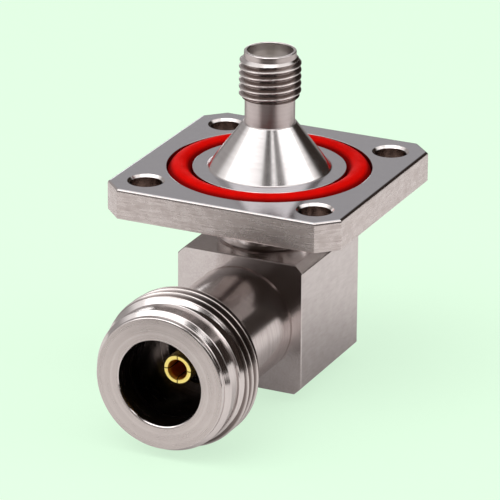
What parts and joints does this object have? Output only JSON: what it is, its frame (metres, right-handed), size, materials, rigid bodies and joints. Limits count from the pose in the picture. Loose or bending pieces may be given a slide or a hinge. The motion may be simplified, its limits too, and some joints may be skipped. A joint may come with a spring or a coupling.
{
  "type": "n to sma right-angle panel adapter",
  "caption": "Right-angle coaxial adapter with an N socket, an SMA socket and a square panel flange sealed by an O-ring.",
  "frame": {"origin": "centre of the four mounting holes on the flange's sealing face", "axes": "+Z out of the sealing face along the SMA arm, -Y out of the mouth of the N arm, +X to the right seen from the N mouth"},
  "size_m": [0.0254, 0.0376, 0.0343],
  "materials": {
    "block_steel": "satin milled stainless steel",
    "flange_steel": "milled plate and turned barrel, stainless steel",
    "barrel_steel": "turned stainless steel",
    "bush_steel": "turned stainless steel",
    "gold": "gold-plated beryllium copper",
    "insulator": "white fluoropolymer",
    "seal": "red silicone, satin"
  },
  "bodies": {
    "root": {"elbow_block": "block_steel", "flange_body": "flange_steel", "flange_seal": "seal", "n_shell": "barrel_steel", "n_contact": "gold", "n_inner_conductor": "gold", "n_bead": "insulator", "n_bead_bush": "bush_steel", "sma_contact": "gold", "sma_dielectric": "insulator", "sma_dielectric_rear": "insulator", "access_insulator": "insulator", "access_cap": "block_steel"}
  },
  "joints": []
}
